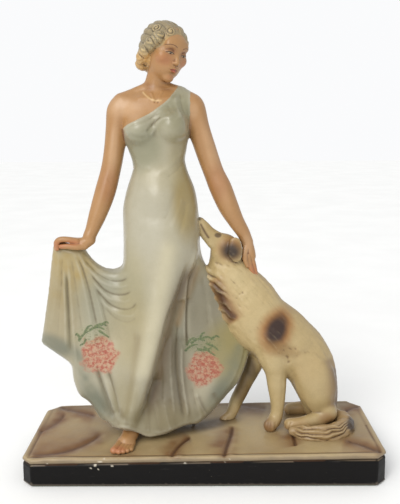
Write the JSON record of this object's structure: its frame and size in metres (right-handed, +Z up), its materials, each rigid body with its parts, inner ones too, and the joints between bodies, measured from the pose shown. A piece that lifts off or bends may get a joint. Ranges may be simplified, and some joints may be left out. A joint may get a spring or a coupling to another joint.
{
  "type": "chalkware figure group",
  "caption": "Tinted plaster statuette of a standing woman in a one-shoulder gown holding out her skirt, with a seated long-muzzled hound, on a long canted plinth.",
  "frame": {"origin": "centre of the plinth's underside, on the felt", "axes": "+X to the viewer's right along the long side, +Y to the back, +Z up; the front faces -Y"},
  "size_m": [0.352, 0.13, 0.4391],
  "materials": {
    "pearl_gown_paint": "satin lustre paint over cast plaster",
    "skin_paint": "satin varnished paint over cast plaster",
    "hair_paint": "satin varnished paint over cast plaster",
    "hound_paint": "satin varnished paint over cast plaster",
    "stone_paint": "airbrushed satin paint on top, semi-gloss black on the sides",
    "green_felt": "short-nap felt",
    "armature_steel": "drawn wire"
  },
  "bodies": {
    "root": {"plinth": "stone_paint", "gown": "pearl_gown_paint", "head": "skin_paint", "right_arm": "skin_paint", "left_arm": "skin_paint", "bare_foot": "skin_paint", "dog": "hound_paint", "dog_tail": "hound_paint", "felt_base": "green_felt", "figure_rod": "armature_steel", "skirt_pin": "armature_steel", "neck_pin": "armature_steel", "right_arm_wire": "armature_steel", "left_arm_wire": "armature_steel", "near_foreleg_wire": "armature_steel", "far_foreleg_wire": "armature_steel", "haunch_pin": "armature_steel", "dog_neck_wire": "armature_steel"}
  },
  "joints": []
}
